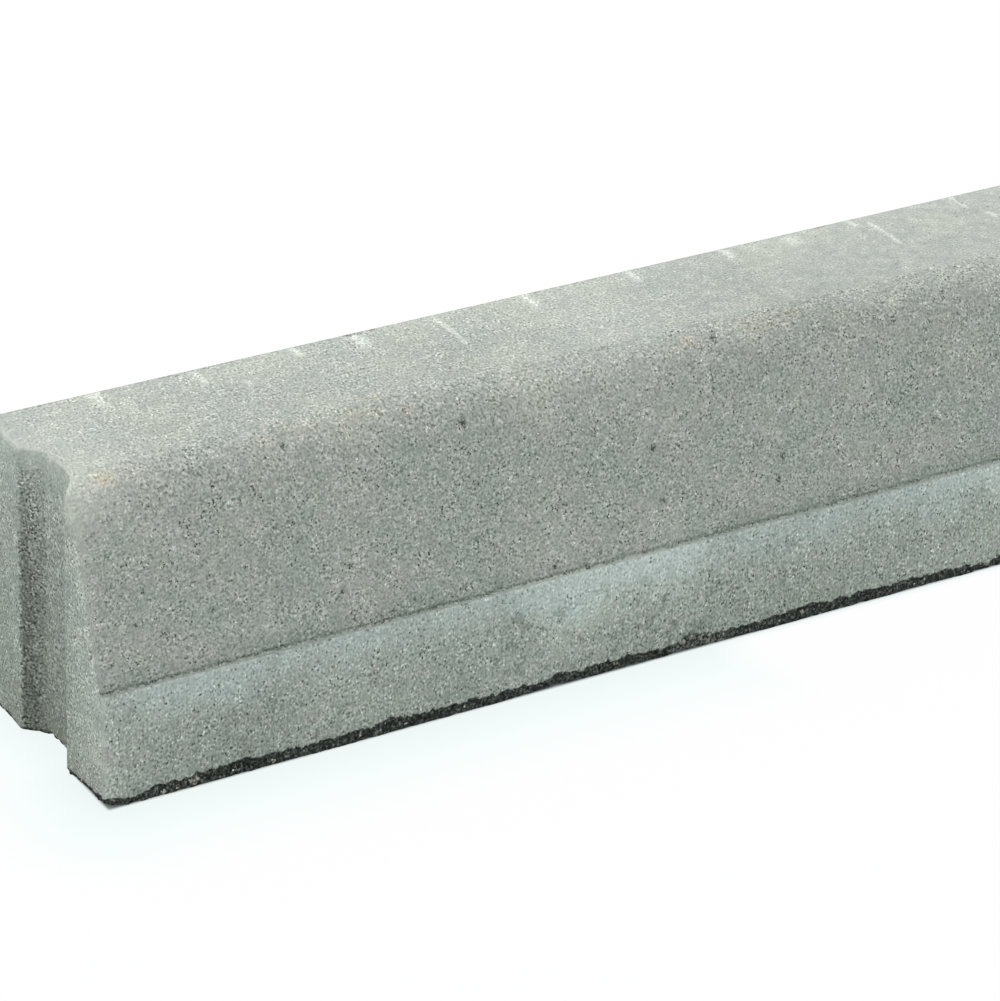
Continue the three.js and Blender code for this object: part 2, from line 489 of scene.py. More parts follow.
class WornSkin:
    """The stone's points as they are worn, their places before that, and the marks for its finish."""

    def __init__(self, bare):
        from_groove = (bare[:, 0] - GROOVE_LAND) / (TONGUE_LAND - GROOVE_LAND)
        self.x = follow(SLICE_STOPS, np.round(from_groove * LAST_SLICE))
        self.y = bare[:, 1].copy()
        self.z = bare[:, 2].copy()
        self.start = self.places()
        self.start_x, self.start_y, self.start_z = self.start.T
        self.depth, self.inward = skin_depth(self.y, self.z)
        self.to_end = np.minimum(self.x - GROOVE_LAND, TONGUE_LAND - self.x)
        self.way_in = np.where(self.x < 0, 1.0, -1.0)
        self.on_skin = self.depth < HAIR
        self.on_end = self.to_end < HAIR
        self.on_front = self.on_skin & (self.y < NOSE_Y)
        self.inside_end = self.on_end & ~self.on_skin
        self.marks = {
            "front": np.where(self.on_front & ~self.on_end, 1.0, 0.0),
            "end": np.clip(1 - self.to_end / END_ARRIS, 0, 1),
        }

    def places(self):
        """Each point's X, Y and Z."""
        return np.stack([self.x, self.y, self.z], 1)

    def dent(self, amount, where=True):
        """Presses the long faces in, or those points of them that are asked for."""
        amount = np.where(self.on_skin & where, amount, 0)
        self.y += amount * self.inward[:, 0]
        self.z += amount * self.inward[:, 1]

    def dent_ends(self, amount):
        """Presses the ends in."""
        self.x += np.where(self.on_end, amount * self.way_in, 0)

    def press_unevenly(self):
        """Leaves the faces not quite flat."""
        self.dent(0.1 + 0.2 * lumps(self.start, 90, 2) + 0.05 * np.abs(lumps(self.start, 7, 3)))
        self.dent_ends(0.3 + 0.3 * lumps(self.start, 50, 4))

    def tear_crease(self):
        """Tears the concrete where the batter leaves the ledge."""
        height = self.start_z - BATTER_FOOT.z
        torn = bell(height - 0.5, 1.6) * (0.2 + 0.6 * lumps(self.start, 5, 5))
        self.dent(np.maximum(torn, 0), self.on_front)
        lip = bell(self.start_z - PLINTH_HEIGHT, 2.5) * np.maximum(lumps(self.start, 14, 6), 0)
        self.dent(lip, self.on_front)

    def draw_press_line(self):
        """Draws the faint line along the nose where the press plate ended."""
        run = np.maximum(NOSE_Y - self.start_y + lumps(self.start, 40, 7), 0) / PRESS_LINE_RUN
        self.dent(PRESS_LINE_DEPTH * run * np.exp(1 - run), self.on_front)

    def chip_back_arris(self):
        """Knocks small chips out of the long back arris."""
        from_arris = (BACK - self.start_y) + (TOP - self.start_z)
        chips = np.maximum(lumps(self.start, 20, 8) - 0.10, 0) * CHIP_DEPTH
        self.dent(bell(from_arris, CHIP_REACH) * chips)

    def open_pits(self):
        """Opens the pits and marks them: 1 at the middle of each, 0 where its brim ends."""
        pit = np.full(len(self.x), -1.0)
        for x, z, radius in PITS:
            distance = np.hypot(self.start_x - x, self.start_z - z)
            pit = np.maximum(pit, np.where(self.on_front, 1 - distance / (2 * radius), -1))
        self.dent(PIT_DEPTH * smooth_step(0, 0.8, pit))
        self.marks["pit"] = pit

    def round_ends(self):
        """Rounds the end arrises, more where they have been knocked."""
        knocks = lumps(self.start, 24, 9)
        radius = END_ARRIS * (1 + 0.25 * knocks + 0.5 * np.maximum(knocks - 0.35, 0))
        back_x, back_in = self.to_end - radius, self.depth - radius
        reach = np.maximum(np.hypot(back_x, back_in), 1e-9)
        cut = np.where((back_x < 0) & (back_in < 0) & (reach > radius), radius / reach - 1, 0)
        self.x += self.way_in * back_x * cut
        self.y += back_in * cut * self.inward[:, 0]
        self.z += back_in * cut * self.inward[:, 1]
        near_arris = bell(np.maximum(self.to_end, self.depth), 2.6 * END_ARRIS)
        self.marks["arris"] = np.where(self.on_end | self.on_skin, near_arris, 0)

    def press_key(self):
        """Presses the groove into one end and draws the tongue out of the other."""
        groove = key_plan(self.start_y, GROOVE_MOUTH, GROOVE_FLOOR, GROOVE_DEPTH)
        tongue = key_plan(
            self.start_y,
            GROOVE_MOUTH - 2 * JOINT_PLAY,
            GROOVE_FLOOR - 2 * JOINT_PLAY,
            GROOVE_DEPTH - JOINT_PLAY,
        )
        give = np.clip(1 - self.to_end / KEY_REACH, 0, 1)
        self.x += give * np.where(self.x < 0, groove, tongue)
        across = np.abs(self.start_y)
        mouth = smooth_step(GROOVE_MOUTH / 2 + 0.5, GROOVE_MOUTH / 2 - 2.5, across)
        flank = mouth * smooth_step(GROOVE_FLOOR / 2 - 6, GROOVE_MOUTH / 2 - 2, across)
        self.dent_ends(flank * (0.4 + 0.8 * lumps(self.start, 6, 10)))
        self.marks["flank"] = flank * self.marks["end"]
        self.marks["hollow"] = np.where(self.x < 0, groove / GROOVE_DEPTH, 0) * self.marks["end"]

    def foot_height(self):
        """How high the torn foot reaches at each place."""
        spot = self.start * (1, 1, 0)
        ragged = 1.2 * lumps(spot, 45, 11) + 2.3 * lumps(spot, 13, 12) + 2.4 * lumps(spot, 5, 13)
        height = FOOT_HEIGHT + ragged
        for x, half_length, rise in FOOT_SWELLS:
            height += np.where(self.y < 0, rise * bell(self.start_x - x, half_length), 0)
        from_corner = smooth_step(0, CORNER_RUN, self.to_end)
        height = CORNER_FOOT_HEIGHT + (height - CORNER_FOOT_HEIGHT) * from_corner
        end_height = self.end_foot_height() + follow(END_SHADE_RISE, self.start_y)
        return np.where(self.inside_end, end_height, height)

    def end_foot_height(self):
        """How high the ends are torn. They are torn deeper than the long faces."""
        ragged = follow(END_RAGGEDNESS, self.start_y) * lumps(self.start * (0, 1, 0), 9, 14)
        return follow(END_FOOT_HEIGHT, np.abs(self.start_y)) + ragged

    def lay_pebbles(self):
        """Lays pebbles in the torn foot: 1 at the middle of each, 0 at its edge."""
        draw = random.Random(5)
        around = [(x, FRONT, z, radius) for x, z, radius in PEBBLES]
        for _ in range(MORE_PEBBLES):
            x = draw.uniform(GROOVE_LAND, TONGUE_LAND)
            side = draw.choice([FRONT, BACK, BACK])
            radius = draw.uniform(1.4, 3.0)
            around.append((x, side, draw.uniform(radius, 6), radius))
        pebble = np.full(len(self.x), -1.0)
        for x, y, z, radius in around:
            across = np.hypot(self.start_x - x, self.start_z - z) / radius
            here = self.on_skin & (np.abs(self.start_y - y) < 1)
            pebble = np.maximum(pebble, np.where(here, 1 - across, -1))
        return pebble

    def side_recess(self, below, pebble):
        """How far the torn foot of the long faces stands back."""
        ragged = 1.2 * lumps(self.start * (1, 1, 0.5), 9, 15)
        recess = 0.5 + 0.5 * bell(below - 2, 5) + ragged
        recess -= PEBBLE_STAND * smooth_step(0, 0.8, pebble)
        recess = np.clip(recess, *FOOT_RECESS)
        return smooth_step(-0.8, 0.8, below) * recess * np.where(self.inside_end, 0.6, 1)

    def end_recess(self):
        """How far the torn foot of the ends stands back."""
        ragged = 3.0 * lumps(self.start * (1, 1, 0.5), 7, 16)
        below = self.end_foot_height() - self.start_z
        return smooth_step(-0.6, 2.0, below) * (END_TEAR + ragged) * follow(END_TEAR_SHARE, self.start_y)

    def foot_lift(self):
        """How far the foot's lower edge is broken off the ground."""
        spot = self.start * (1, 1, 0.5)
        lift = 1.2 * np.maximum(lumps(spot, 30, 17), 0) + 1.4 * np.maximum(lumps(spot, 6, 18), 0)
        lift += END_LIFT * follow(END_LIFT_SHARE, self.start_y) * bell(self.to_end, END_SQUEEZE)
        for x, half_length, rise in FOOT_LIFTS:
            lift += rise * bell(self.start_x - x, half_length)
        return lift * bell(self.start_z, FOOT_ROWS * FOOT_PITCH)

    def tear_foot(self):
        """Sets the torn foot back under the ragged lower edge of the faces."""
        below = self.foot_height() - self.start_z
        pebble = self.lay_pebbles()
        side_share = np.clip(1 - self.depth / FOOT_SQUEEZE, 0, 1)
        end_share = np.clip(1 - self.to_end / END_SQUEEZE, 0, 1)
        self.y += self.side_recess(below, pebble) * side_share * np.sign(self.inward[:, 0])
        self.x += self.end_recess() * end_share * self.way_in
        self.z += self.foot_lift()
        self.marks["foot"] = np.clip(below / 4, -1, 1)
        self.marks["pebble"] = pebble

    def mark_scrapes(self):
        """Marks how far each point of the top is from the middle of a scrape, in half widths."""
        y = self.start_y
        on_top = self.on_skin & (y > NOSE_Y) & (self.start_z > TOP - BACK_ARRIS)
        offset = np.full(len(y), NO_SCRAPE)
        whiteness = np.zeros(len(y))
        for middle, back_end, front_end, half_width, white in SCRAPES:
            bend = SCRAPE_BEND * np.sin((y - front_end) / (back_end - front_end) * math.pi)
            from_middle = self.start_x - middle - bend
            here = on_top & (np.abs(from_middle) < max(SCRAPE_FRINGE, 2 * half_width))
            ends = smooth_step(front_end - 4, front_end + 4, y)
            ends *= smooth_step(back_end + 4, back_end - 2, y)
            offset = np.where(here, from_middle / half_width, offset)
            whiteness = np.where(here, white * ends, whiteness)
        self.marks["scrape_offset"] = offset
        self.marks["scrape"] = whiteness

    def mark_stains(self):
        """Marks the ochre stains, as strong as each is."""
        stain = np.zeros(len(self.x))
        for x, y, half_length, strength in STAINS:
            distance = np.hypot((self.start_x - x) / half_length, (self.start_y - y) / STAIN_REACH)
            stain = np.maximum(stain, np.where(self.on_skin, strength * bell(distance, 1.3), 0))
        self.marks["stain"] = stain

    def mark_patches(self):
        """Marks the broad paler and darker places."""
        on_upper_part = self.on_skin & (self.start_z > NOSE_Z)
        patch = np.where(on_upper_part, follow(TOP_TONE_TO_BACK, self.start_y), 0)
        for middle, half_length, reach, tone in PATCHES:
            offset = (self.start - middle) / (half_length, reach, reach)
            patch += np.where(self.on_skin, tone * bell(np.linalg.norm(offset, axis=1), 1.7), 0)
        self.marks["patch"] = patch

    def keep_in_box(self):
        """Keeps every point inside the solid's box."""
        self.x = np.clip(self.x, BOX_LOW.x, BOX_HIGH.x)
        self.y = np.clip(self.y, BOX_LOW.y, BOX_HIGH.y)
        self.z = np.clip(self.z, BOX_LOW.z, BOX_HIGH.z)


def make_stone():
    """The worn stone, with its marks as attributes."""
    bm = bare_stone()
    mesh = bpy.data.meshes.new("kerb")
    bm.to_mesh(mesh)
    bm.free()
    bare = np.empty(len(mesh.vertices) * 3)
    mesh.vertices.foreach_get("co", bare)
    skin = WornSkin(bare.reshape(-1, 3))
    skin.press_unevenly()
    skin.tear_crease()
    skin.draw_press_line()
    skin.chip_back_arris()
    skin.open_pits()
    skin.round_ends()
    skin.press_key()
    skin.tear_foot()
    skin.mark_scrapes()
    skin.mark_stains()
    skin.mark_patches()
    skin.keep_in_box()
    mesh.vertices.foreach_set("co", (skin.places() * MM).ravel())
    for name, values in skin.marks.items():
        mesh.attributes.new(name, "FLOAT", "POINT").data.foreach_set("value", values)
    mesh.update()
    mesh.shade_smooth()
    mesh.set_sharp_from_angle(angle=math.radians(SHARP_ANGLE))
    stone = bpy.data.objects.new("kerb", mesh)
    bpy.context.scene.collection.objects.link(stone)
    return stone


# ---------------------------------------------------------------- nodes

class Nodes:
    """Short ways to add nodes to a tree. Most hand back the new node's output."""

    def add(self, kind, **settings):
        node = self.tree.nodes.new(kind)
        for name, value in settings.items():
            setattr(node, name, value)
        return node

    def feed(self, socket, value):
        if isinstance(value, bpy.types.NodeSocket):
            self.tree.links.new(value, socket)
        else:
            socket.default_value = value

    def fill(self, node, **inputs):
        """Feeds a node's inputs by their names, with an underscore for a space."""
        for name, value in inputs.items():
            self.feed(node.inputs[name.replace("_", " ")], value)
        return node

    def place_in_mm(self):
        """Each point's place on its own piece, in millimetres."""
        metres = self.add("ShaderNodeTexCoord").outputs["Object"]
        return self.stretch(metres, 1 / MM, 1 / MM, 1 / MM)

    def split(self, vector):
        return self.fill(self.add("ShaderNodeSeparateXYZ"), Vector=vector).outputs

    def combine(self, x, y, z):
        return self.fill(self.add("ShaderNodeCombineXYZ"), X=x, Y=y, Z=z).outputs[0]

    def mark(self, name):
        return self.add("ShaderNodeAttribute", attribute_name=name).outputs["Fac"]

    def calc(self, operation, a, b=0.0):
        node = self.add("ShaderNodeMath", operation=operation)
        self.feed(node.inputs[0], a)
        self.feed(node.inputs[1], b)
        return node.outputs[0]

    def times(self, product, *factors):
        for factor in factors:
            product = self.calc("MULTIPLY", product, factor)
        return product

    def plus(self, total, *parts):
        for part in parts:
            total = self.calc("ADD", total, part)
        return total

    def minus(self, a, b):
        return self.calc("SUBTRACT", a, b)

    def larger(self, a, b):
        return self.calc("MAXIMUM", a, b)

    def absolute(self, value):
        return self.calc("ABSOLUTE", value)

    def stretch(self, place, x, y, z):
        """The place with each axis drawn out by a factor of its own."""
        return self.fill(self.add("ShaderNodeMapping"), Vector=place, Scale=(x, y, z)).outputs[0]

    def cloud(self, place, pitch, detail, roughness=0.5):
        """Soft noise about 0, its lumps about a pitch wide."""
        node = self.add("ShaderNodeTexNoise")
        self.fill(node, Vector=place, Scale=1 / pitch, Detail=detail, Roughness=roughness)
        return self.minus(node.outputs["Fac"], 0.5)

    def grains(self, place, pitch):
        """Cells about a pitch wide: the distance from their middle, and each one's own three numbers."""
        node = self.fill(self.add("ShaderNodeTexVoronoi"), Vector=place, Scale=1 / pitch)
        return node.outputs["Distance"], self.split(node.outputs["Color"])

    def step(self, value, low, high, to_low=0.0, to_high=1.0):
        """Runs smoothly from one value to another as its input goes from low to high."""
        node = self.add("ShaderNodeMapRange", interpolation_type="SMOOTHSTEP")
        self.fill(node, Value=value, From_Min=low, From_Max=high, To_Min=to_low, To_Max=to_high)
        return node.outputs[0]

    def region(self, *edges):
        """1 inside every edge. Each is a value, where it sets in and where it is full."""
        return self.times(*[self.step(*edge) for edge in edges])

    def blend(self, share, under, over):
        """One colour over another."""
        node = self.add("ShaderNodeMix", data_type="RGBA")
        return self.fill(node, Factor=share, A=under, B=over).outputs["Result"]

    def shade(self, colour, tone):
        """The colour made lighter or darker."""
        node = self.add("ShaderNodeVectorMath", operation="SCALE")
        self.feed(node.inputs[0], colour)
        return self.fill(node, Scale=tone).outputs[0]

    def seen_directly(self):
        """1 for the camera's rays, and for those off metal and through glass."""
        path = self.add("ShaderNodeLightPath")
        seen = self.larger(path.outputs["Is Camera Ray"], path.outputs["Is Glossy Ray"])
        return self.larger(seen, path.outputs["Is Transmission Ray"])


class Finish(Nodes):
    """One material."""

    def __init__(self, name):
        self.material = bpy.data.materials.new(name)
        self.material.use_nodes = True
        self.tree = self.material.node_tree
        self.shader = self.tree.nodes["Principled BSDF"]
        self.output = self.tree.nodes["Material Output"]


def from_srgb(red, green, blue):
    """A colour from its 0 to 255 values on a screen."""
    def linear(level):
        part = level / 255
        return part / 12.92 if part <= 0.04045 else ((part + 0.055) / 1.055) ** 2.4
    return linear(red), linear(green), linear(blue), 1.0


# ---------------------------------------------------------------- concrete

COOL_GREY = from_srgb(159, 166, 160)
WARM_GREY = from_srgb(161, 166, 156)
PLAIN_GREY = from_srgb(163, 165, 162)
ROSE_GREY = from_srgb(165, 164, 161)
DEEP_GREY = from_srgb(153, 167, 154)
OLIVE_GREY = from_srgb(157, 164, 153)
LAITANCE = from_srgb(163, 172, 168)
SCRAPE_WHITE = from_srgb(216, 222, 212)
STAIN_OCHRE = from_srgb(174, 160, 134)
# The painted black shade of the torn, set-back foot.
FOOT_SHADE_BLACK = from_srgb(34, 38, 35)
FOOT_GREY = from_srgb(110, 115, 109)
SPECK_PALE = from_srgb(190, 194, 186)
PEBBLE_PALE = from_srgb(150, 148, 138)

# How wide the lumps of each noise are, in millimetres.
SAND_PITCH = 1.5
SOFT_SAND_PITCH = 2.0
FINE_PITCH = 2.4
GRAVEL_PITCH = 3.4
STREAK_PITCH = 3
PORE_PITCH = 5.5
MIDDLING_PITCH = 11
BLOTCH_PITCH = 13
MOTTLE_PITCH = 14
ROSY_PITCH = 28
BROAD_PITCH = 60
STREAK_SHARE = 0.06             # how much slower a streak changes along Z
MIDDLING_RUN = (-0.12, 0.12)    # the middling noise, from its low places to its high ones

# How much of the tone each dark mark takes away, and how much of the colour each laid mark covers.
# The dark marks below are painted shade; on the groove's flank it goes with darker concrete.
PORE_SHADE = 0.40
CREASE_SHADE = 0.75
PIT_SHADE = 0.74
FLANK_DARK_AND_SHADE = 0.27
HOLLOW_SHADE = 0.17
MOUTH_SHADE = 0.11
STAIN_COVER = 0.50
SCRAPE_COVER = 0.48
PEBBLE_COVER = 0.85
LEAST_TONE = 0.15               # no mark darkens the tone below this

CREASE = BATTER_FOOT.z
HEAD = (TOP - 15, TOP - 3)      # where the nose runs out into the top
GRAVELLY_X = 46                 # the middle of the stretch where the foot has more grey gravel
BUMP_HEIGHT = 0.22 * MM         # what a step of 1 in the grain stands for


class PressedConcrete(Finish):
    """Grey pressed concrete. Places on the stone are in millimetres."""

    def __init__(self):
        super().__init__("pressed_concrete")
        self.place = self.place_in_mm()
        self.x, self.y, self.z = self.split(self.place)
        self.front = self.mark("front")
        self.end = self.mark("end")
        self.flank = self.mark("flank")
        self.fine = self.cloud(self.place, FINE_PITCH, detail=3, roughness=0.7)
        self.middling = self.cloud(self.place, MIDDLING_PITCH, detail=3)
        self.broad = self.cloud(self.place, BROAD_PITCH, detail=3)
        self.pore_distance, self.pore_number = self.grains(self.place, PORE_PITCH)
        self.plinth = self.times(self.front, self.step(self.z, PLINTH_HEIGHT + 3, PLINTH_HEIGHT + 1))
        self.top = self.region((self.z, *HEAD), (self.y, -20, -10))
        self.rubbed = self.times(self.top, self.step(self.x, -50, 300))
        self.grain, self.bite = self.sand()
        foot_edge = self.plus(self.mark("foot"), self.times(self.fine, 2.0))
        self.foot = self.step(foot_edge, -0.20, 0.16)
        self.foot_rim = self.step(foot_edge, 0.45, 0.10)

    def drawn_place(self):
        """The place, a little slanted and stretched, as the sand is drawn in pressing."""
        long_face = self.step(self.end, 1.0, 0.0)
        over_top = self.times(long_face, self.step(self.x, -50, 150, -0.22, 0.10))
        return self.combine(
            self.minus(self.x, self.times(self.y, long_face, 0.15)),
            self.times(self.y, self.plus(1.0, over_top)),
            self.times(self.z, self.step(self.plinth, 0.0, 1.0, 1.0, 0.74)),
        )

    def sand(self):
        """Light and dark grains of sand, about 0, and 1 on the grains that a torn line bites into."""
        drawn = self.drawn_place()
        soft = self.cloud(drawn, SOFT_SAND_PITCH, detail=0)
        distance, number = self.grains(drawn, SAND_PITCH)
        cell = self.minus(self.times(number[0], 0.34), 0.17)
        grain = self.plus(self.times(soft, 1.15), cell)
        round_speck = self.step(distance, 0.65, 0.35)
        bite = self.times(round_speck, self.step(number[0], 0.45, 0.55))
        pale = self.times(round_speck, self.step(number[1], 0.915, 0.925, 0, 0.60))
        crowd = self.step(self.middling, *MIDDLING_RUN, 0.15, 0.75)
        crowd = self.times(crowd, self.step(self.z, 215, 242, 1.0, 0.60))
        dark = self.times(round_speck, self.step(number[2], 0.905, 0.915), crowd)
        grain = self.minus(self.plus(grain, pale), dark)
        return self.times(grain, self.step(self.middling, -0.16, 0.16, 0.65, 1.25)), bite

    def pores(self):
        """Scattered open pores, 1 inside each."""
        return self.region((self.pore_number[1], 0.84, 0.85), (self.pore_distance, 0.24, 0.14))

    def darken(self, tone, share, most):
        """Takes a share of the most away from the tone."""
        return self.times(tone, self.minus(1.0, self.times(share, most)))

    def body_colour(self, tone):
        """Cool, warm and rosy greys, with pale laitance under the ledge. Dark places are greener."""
        tint = self.plus(self.times(self.broad, 0.8), self.times(self.middling, 0.35))
        colour = self.blend(self.step(tint, -0.18, 0.18), COOL_GREY, WARM_GREY)
        colour = self.blend(self.rosy_share(), colour, ROSE_GREY)
        mottled = self.times(self.plinth, self.step(self.z, 92, 66, 0.0, 0.34))
        mottle = self.step(self.cloud(self.place, MOTTLE_PITCH, detail=4, roughness=0.6), -0.08, 0.14)
        colour = self.blend(mottled, colour, self.blend(mottle, DEEP_GREY, ROSE_GREY))
        olive = self.times(self.end, self.region((self.z, 200, 60), (self.y, -85, -50)))
        colour = self.blend(olive, colour, OLIVE_GREY)
        level = self.plus(self.z, self.times(self.broad, 100))
        laitance = self.times(self.plinth, self.step(level, 60, 92))
        laitance = self.times(laitance, self.step(self.x, -500, -450, 0.2, 1.0))
        colour = self.blend(laitance, colour, LAITANCE)
        colour = self.blend(self.step(self.grain, 0.0, 0.5, 0.0, 0.7), colour, PLAIN_GREY)
        deep = self.times(self.step(tone, 0.92, 0.60, 0.0, 0.9), self.step(self.end, 1.0, 0.0))
        return self.blend(deep, colour, DEEP_GREY)

    def rosy_share(self):
        """How much of the rosy grey shows. There is less of it on the plinth, the top and the ends."""
        rosy = self.step(self.cloud(self.place, ROSY_PITCH, detail=4), -0.10, 0.13)
        elsewhere = self.times(self.plus(self.plinth, self.top), 0.18)
        elsewhere = self.plus(elsewhere, self.times(self.end, 0.28))
        return self.times(rosy, self.minus(0.34, elsewhere))

    def crease(self):
        """The torn line above the ledge, 1 where it is open, and the band round it, both for painted
        shade.
        """
        ragged = self.plus(self.z, self.times(self.fine, 8), self.times(self.middling, 4))
        line = self.region((ragged, CREASE - 1.0, CREASE - 0.2), (ragged, CREASE + 2.0, CREASE + 1.0))
        line = self.times(line, self.step(self.middling, -0.12, 0.08, 0.5, 1.0))
        line = self.times(line, self.plus(0.45, self.times(self.bite, 0.75)))
        shade_round_crease = self.region((self.z, CREASE - 1.6, CREASE + 0.4), (self.z, CREASE + 16, CREASE + 1))
        return self.times(line, self.front), self.times(shade_round_crease, self.front)

    def grain_contrast(self):
        """How strongly the grain shows: more low on the ends, less on the top and the arrises."""
        low_end = self.times(self.end, self.step(self.z, 245, 205))
        low_flank = self.times(self.flank, self.step(self.z, 242, 215))
        near_corner = self.region((self.x, -440, -490), (self.z, 205, 230))
        return self.plus(
            1.1,
            self.times(low_end, 0.25),
            self.times(low_flank, 0.85),
            self.times(self.mark("arris"), -0.25),
            self.times(self.plinth, self.step(self.z, 94, 55, -0.25, 0.08)),
            self.times(self.top, -0.12),
            self.times(self.rubbed, -0.42),
            self.times(near_corner, -0.35),
        )

    def body_tone(self, pore):
        """How light or dark each place of the sound concrete is."""
        tone = self.plus(1.0, self.times(self.grain, self.grain_contrast()))
        # Painted shade inside the open pores.
        tone = self.darken(tone, pore, PORE_SHADE)
        middling_share = self.plus(0.40, self.times(self.end, 0.30), self.times(self.rubbed, 0.20))
        mottle = self.plus(self.times(self.broad, 0.30), self.times(self.middling, middling_share))
        tone = self.plus(tone, mottle, self.mark("patch"))
        tone = self.times(tone, self.plus(0.985, self.times(self.top, 0.04)))
        # Painted shade along the rounded back arris.
        back_arris = self.region((self.y, BACK - 5.5, BACK - 2.5), (self.z, *HEAD))
        tone = self.darken(tone, back_arris, self.step(self.middling, *MIDDLING_RUN, 0.02, 0.20))
        tone = self.times(tone, self.plinth_tone(), self.end_tone())
        # Painted shade of the crease: a band round it, and more in its open torn line.
        line, shade_round_crease = self.crease()
        tone = self.darken(tone, shade_round_crease, self.plus(0.15, self.times(self.fine, 0.8)))
        tone = self.darken(tone, line, CREASE_SHADE)
        # Painted shade in the open pits, over their dents.
        pit = self.plus(self.mark("pit"), self.times(self.fine, 2.4))
        return self.darken(tone, self.step(pit, 0.50, 0.75), PIT_SHADE)

    def plinth_tone(self):
        """The plinth is lightened with painted light, more towards its ledge, with drawn streaks and
        dark blotches lower down.
        """
        # Painted light over the whole plinth, stronger near the ledge.
        rise = self.step(self.z, 40, 92, 0.09, 0.19)
        streak = self.cloud(self.stretch(self.place, 1, 1, STREAK_SHARE), STREAK_PITCH, detail=3)
        pale = self.plus(rise, self.times(streak, 0.40))
        blotch = self.step(self.cloud(self.place, BLOTCH_PITCH, detail=5, roughness=0.7), 0.00, 0.14)
        blotchy = self.region((self.x, -190, -130), (self.x, 60, 10))
        most = self.plus(0.12, self.times(blotchy, 0.21))
        blotch = self.times(blotch, self.step(self.z, 90, 66), most)
        return self.darken(self.plus(1.0, self.times(self.plinth, pale)), self.plinth, blotch)

    def end_tone(self):
        """The ends: painted light high up, paler on their arrises and beside the plinth, painted shade
        in and beside the groove.
        """
        arris = self.times(self.mark("arris"), self.step(self.middling, -0.15, 0.10, 0.4, 1.0))
        # Painted light, more of it higher up each end.
        height = self.times(self.end, self.step(self.z, 0, TOP, 0.0, 0.16))
        beside_plinth = self.region((self.y, -55, -80), (self.z, 130, 95), (self.z, 10, 60))
        beside_plinth = self.times(self.end, beside_plinth, 0.13)
        tone = self.plus(1.0, self.times(arris, 0.17), height, beside_plinth)
        # Painted shade in the groove, more of it low down: on its flanks along with darker, rougher
        # concrete, and in its hollow.
        shade_low_down = self.step(self.z, TOP, TOP - 130)
        flank = self.times(self.flank, self.step(self.z, 246, 215))
        tone = self.darken(tone, self.times(flank, self.plus(shade_low_down, 1.0)), FLANK_DARK_AND_SHADE)
        tone = self.darken(tone, self.times(self.mark("hollow"), self.plus(shade_low_down, 0.3)), HOLLOW_SHADE)
        # Painted shade on the lands beside the groove's mouth.
        beside_groove = self.region(
            (self.y, -56, -44), (self.y, -20, -34), (self.z, 234, 220), (self.z, 150, 175)
        )
        tone = self.darken(tone, self.times(self.end, beside_groove), MOUTH_SHADE)
        back_land = self.region((self.y, 38, 42), (self.z, 225, 180))
        return self.darken(tone, self.times(self.end, back_land), MOUTH_SHADE)

    def lay_stain(self, colour):
        """Ochre stains along the nose."""
        stain = self.times(self.mark("stain"), self.step(self.middling, *MIDDLING_RUN, 0.15, 1.0))
        return self.blend(self.times(stain, STAIN_COVER), colour, STAIN_OCHRE)

    def lay_scrape(self, colour):
        """White scrapes on the top, with frayed edges."""
        across = self.absolute(self.mark("scrape_offset"))
        across = self.plus(across, self.times(self.fine, 1.4), self.times(self.middling, 1.6))
        scrape = self.times(self.mark("scrape"), self.step(across, 1.5, 0.0), SCRAPE_COVER)
        return self.blend(scrape, colour, SCRAPE_WHITE)

    def foot_grey(self):
        """Where the torn foot shows grey gravel and not its painted black shade."""
        gravel = self.cloud(self.place, GRAVEL_PITCH, detail=3, roughness=0.7)
        grey = self.region((gravel, 0.03, 0.20), (self.foot_rim, 0.6, 0.0), (self.z, 0.8, 2.4))
        grey = self.larger(grey, self.step(self.fine, -0.06, 0.18, 0.0, 0.62))
        gravelly = self.step(self.absolute(self.minus(self.x, GRAVELLY_X)), 36, 22, 0.0, 0.85)
        return self.larger(grey, self.times(gravelly, self.step(self.fine, -0.12, 0.06)))

    def lay_foot(self, colour):
        """Painted black shade where the foot is torn and set back, with grey gravel, pale specks and
        pebbles.
        """
        torn = self.blend(self.foot_grey(), FOOT_SHADE_BLACK, FOOT_GREY)
        speck = self.region((self.pore_number[2], 0.80, 0.82), (self.pore_distance, 0.20, 0.12))
        torn = self.blend(speck, torn, SPECK_PALE)
        edge = self.plus(self.mark("pebble"), self.fine)
        torn = self.blend(self.times(self.step(edge, 0.0, 0.25), PEBBLE_COVER), torn, PEBBLE_PALE)
        return self.blend(self.foot, colour, torn)

    def finish_surface(self):
        """Joins tone, colour and bump in the shader."""
        pore = self.pores()
        tone = self.body_tone(pore)
        colour = self.lay_scrape(self.lay_stain(self.body_colour(tone)))
        tone = self.plus(tone, self.times(self.foot, self.grain, 1.2))
        tone = self.larger(tone, LEAST_TONE)
        bump = self.fill(
            self.add("ShaderNodeBump"),
            Strength=self.step(self.top, 0.0, 1.0, 1.0, 0.5),
            Distance=BUMP_HEIGHT,
            Height=self.minus(self.times(self.grain, 0.8), pore),
        )
        self.fill(
            self.shader,
            Base_Color=self.shade(self.lay_foot(colour), tone),
            Roughness=0.95,
            Specular_IOR_Level=0.25,
            Normal=bump.outputs[0],
        )
        return self.material


# ---------------------------------------------------------------- stage

FLOOR_HALF = 8                  # half its width, in metres
FLOOR_COLOUR = (0.72, 0.79, 0.785, 1)
WHITE = (1, 1, 1, 1)
# The white's cool tint near the stone, painted shade.
SHADE_TINT_WHITE = (0.93, 1.0, 0.99, 1)

# The torn foot meets the floor this far inside the stone's outline.
END_UNDERCUT = 8.5
SIDE_UNDERCUT = 2.0

